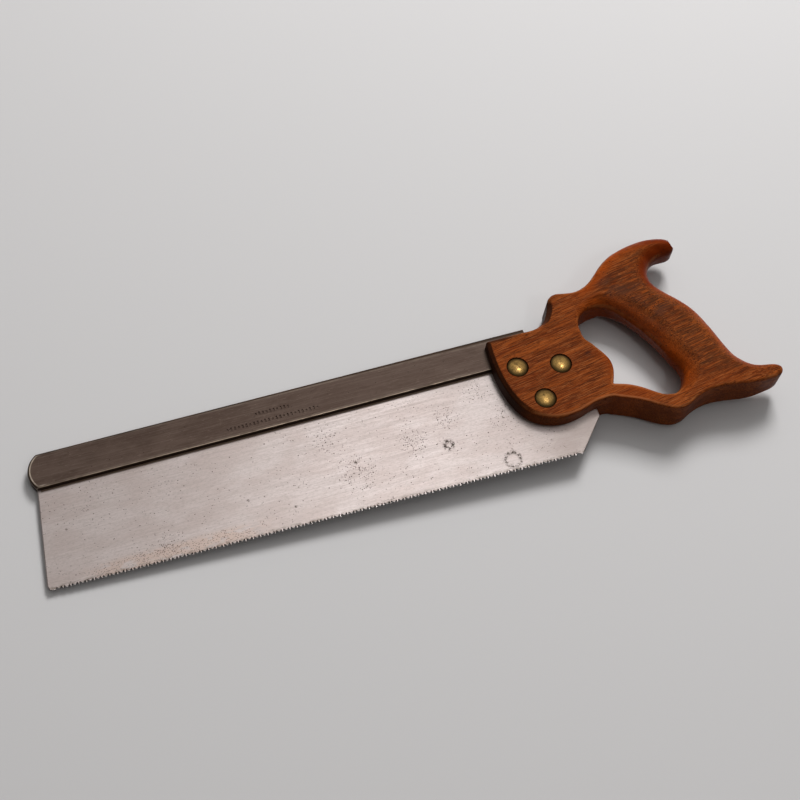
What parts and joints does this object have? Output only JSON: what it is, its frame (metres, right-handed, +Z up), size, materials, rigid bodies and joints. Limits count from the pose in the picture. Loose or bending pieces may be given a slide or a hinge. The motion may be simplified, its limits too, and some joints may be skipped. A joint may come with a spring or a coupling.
{
  "type": "back saw",
  "caption": "Back saw for fine joinery: a toothed steel plate stiffened by a folded metal back, with a closed wooden handle fixed by domed brass saw screws.",
  "frame": {"origin": "centre of the whole saw's box in plan, on the plane that the lower side of the handle rests on", "axes": "the saw lies on its side: +X runs from the toe of the plate to the heel of the handle, +Y from the teeth to the back, +Z up through the thickness, with the screw heads on top"},
  "size_m": [0.4396, 0.1248, 0.0236],
  "materials": {
    "plate_steel": "worn satin",
    "back_steel": "dark brown patina",
    "handle_wood": "old oil and varnish, worn glossy on the grip",
    "screw_brass": "aged satin"
  },
  "bodies": {
    "root": {"saw_plate": "plate_steel", "saw_back": "back_steel", "handle": "handle_wood", "front_saw_screw": "screw_brass", "front_saw_nut": "screw_brass", "rear_saw_screw": "screw_brass", "rear_saw_nut": "screw_brass", "lower_saw_screw": "screw_brass", "lower_saw_nut": "screw_brass"}
  },
  "joints": []
}
